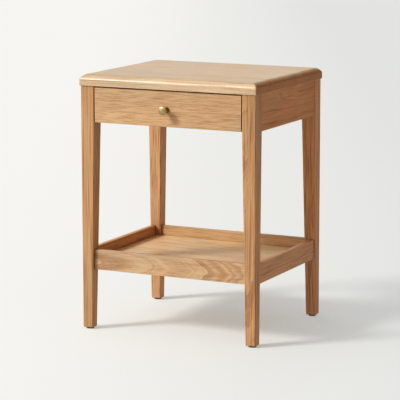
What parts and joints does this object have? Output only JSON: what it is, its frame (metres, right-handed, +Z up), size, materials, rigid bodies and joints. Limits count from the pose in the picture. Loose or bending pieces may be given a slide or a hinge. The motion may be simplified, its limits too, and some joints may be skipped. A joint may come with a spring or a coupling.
{
  "type": "side table",
  "caption": "Small oak side table: square legs that taper inwards, a drawer set in under the bevelled top with a round brass knob, and a shallow tray shelf low down.",
  "frame": {"origin": "on the floor, in the middle of the whole object's footprint, the knob included", "axes": "+X towards the viewer's right facing the drawer, +Y from the drawer front to the back, +Z up"},
  "size_m": [0.45, 0.395, 0.6],
  "materials": {
    "oak": "satin lacquered light oak, straight and flame grain",
    "oak_inside": "planed, thinly sealed oak",
    "drawer_ply": "oak-faced plywood, sealed",
    "knob_brass": "satin brass, lightly turned",
    "screw_steel": "bright zinc plated",
    "felt": "thin brown felt",
    "glide_plastic": "moulded dark brown plastic"
  },
  "bodies": {
    "root": {"table_top": "oak", "front_left_leg": "oak", "front_right_leg": "oak", "back_left_leg": "oak", "back_right_leg": "oak", "left_apron": "oak", "right_apron": "oak", "back_apron": "oak", "lower_front_rail": "oak_inside", "upper_front_rail": "oak_inside", "left_drawer_runner": "oak_inside", "right_drawer_runner": "oak_inside", "left_drawer_guide": "oak_inside", "right_drawer_guide": "oak_inside", "left_drawer_kicker": "oak_inside", "right_drawer_kicker": "oak_inside", "front_tray_rail": "oak", "back_tray_rail": "oak", "left_tray_rail": "oak", "right_tray_rail": "oak", "tray_panel": "oak", "front_left_glide": "glide_plastic", "front_right_glide": "glide_plastic", "back_left_glide": "glide_plastic", "back_right_glide": "glide_plastic", "left_top_button": "oak_inside", "right_top_button": "oak_inside", "left_button_screw": "screw_steel", "right_button_screw": "screw_steel", "top_screw_front_left": "screw_steel", "top_screw_front_right": "screw_steel", "top_screw_left": "screw_steel", "top_screw_right": "screw_steel", "left_guide_screw_1": "screw_steel", "left_guide_screw_2": "screw_steel", "right_guide_screw_1": "screw_steel", "right_guide_screw_2": "screw_steel", "left_drawer_bumper": "felt", "right_drawer_bumper": "felt"},
    "drawer": {"drawer_front": "oak", "drawer_left_side": "oak_inside", "drawer_right_side": "oak_inside", "drawer_back": "oak_inside", "drawer_bottom": "drawer_ply", "drawer_bottom_screw_left": "screw_steel", "drawer_bottom_screw_right": "screw_steel", "drawer_knob": "knob_brass", "knob_screw": "screw_steel", "turn_stop_screw": "screw_steel"},
    "turn_stop": {"drawer_turn_stop": "oak_inside"}
  },
  "joints": [
    {"name": "drawer_slide", "type": "slide", "parent": "root", "child": "drawer", "axis": [0, -1, 0], "range_m": [0, 0.266]},
    {"name": "turn_stop_pivot", "type": "hinge", "parent": "drawer", "child": "turn_stop", "pos_m": [0, 0.163, 0.544], "axis": [0, 1, 0], "range_deg": [0, 90]}
  ]
}
